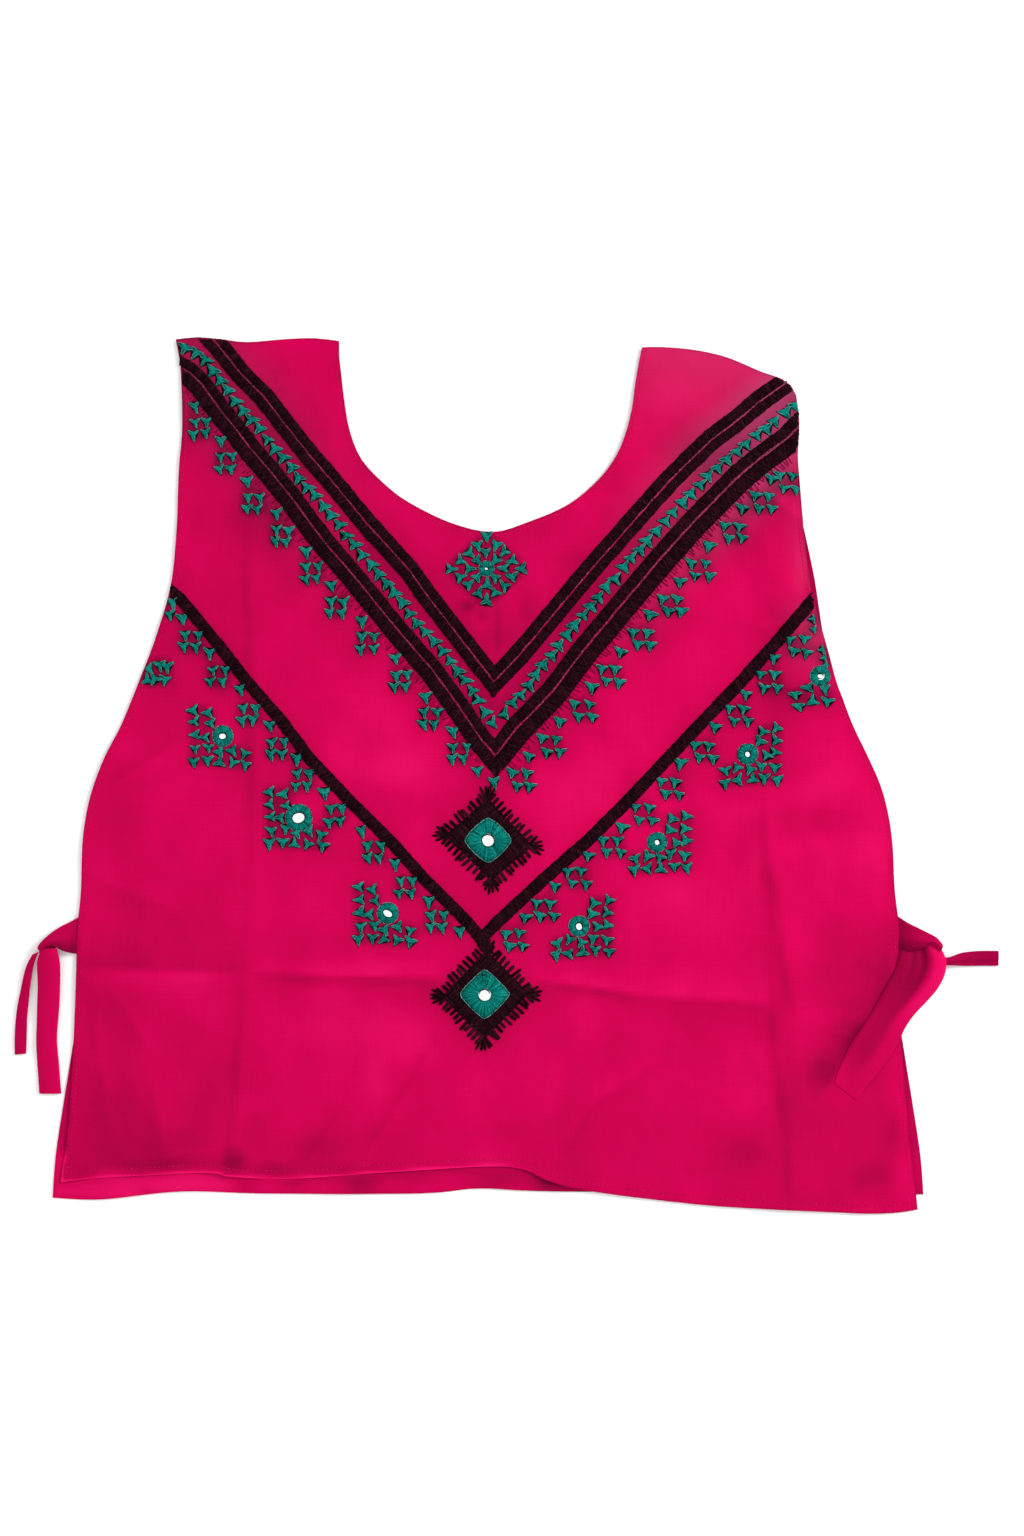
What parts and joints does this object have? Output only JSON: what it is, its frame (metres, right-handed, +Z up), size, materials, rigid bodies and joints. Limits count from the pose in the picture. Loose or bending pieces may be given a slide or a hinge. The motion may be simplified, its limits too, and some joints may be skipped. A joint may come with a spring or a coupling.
{
  "type": "koti jacket",
  "caption": "Sleeveless cotton koti jacket with a round neck, stitched V bands, small mirrors and side ties, laid flat.",
  "frame": {"origin": "on the back panel's underside, at the middle of the jacket's width and near half its length", "axes": "+Z up from the surface the jacket lies on, +Y towards the neck, +X to the viewer's right"},
  "size_m": [0.5917, 0.5262, 0.0079],
  "materials": {
    "cotton": "plain weave, slight sheen",
    "black_thread": "dense stitching",
    "green_thread": "satin stitch",
    "mirror_glass": "silvered glass"
  },
  "bodies": {
    "root": {"back_panel": "cotton", "front_panel": "cotton", "tie_right_root": "cotton", "tie_right_knot": "cotton", "tie_right_tail": "cotton", "tie_right_end": "cotton", "tie_left_root": "cotton", "tie_left_knot": "cotton", "tie_left_tail": "cotton", "tie_left_end": "cotton", "upper_band_inner": "black_thread", "upper_band_outer": "black_thread", "lower_band": "black_thread", "diamond_upper": "black_thread", "diamond_lower": "black_thread", "square_upper": "green_thread", "square_lower": "green_thread", "ring_left_high": "green_thread", "ring_left_middle": "green_thread", "ring_left_low": "green_thread", "ring_right_low": "green_thread", "ring_right_middle": "green_thread", "ring_right_high": "green_thread", "ring_right_side": "green_thread", "ring_medallion": "green_thread", "mirror_diamond_upper": "mirror_glass", "mirror_diamond_lower": "mirror_glass", "mirror_left_high": "mirror_glass", "mirror_left_middle": "mirror_glass", "mirror_left_low": "mirror_glass", "mirror_right_low": "mirror_glass", "mirror_right_middle": "mirror_glass", "mirror_right_high": "mirror_glass", "mirror_right_side": "mirror_glass", "mirror_medallion": "mirror_glass"}
  },
  "joints": []
}
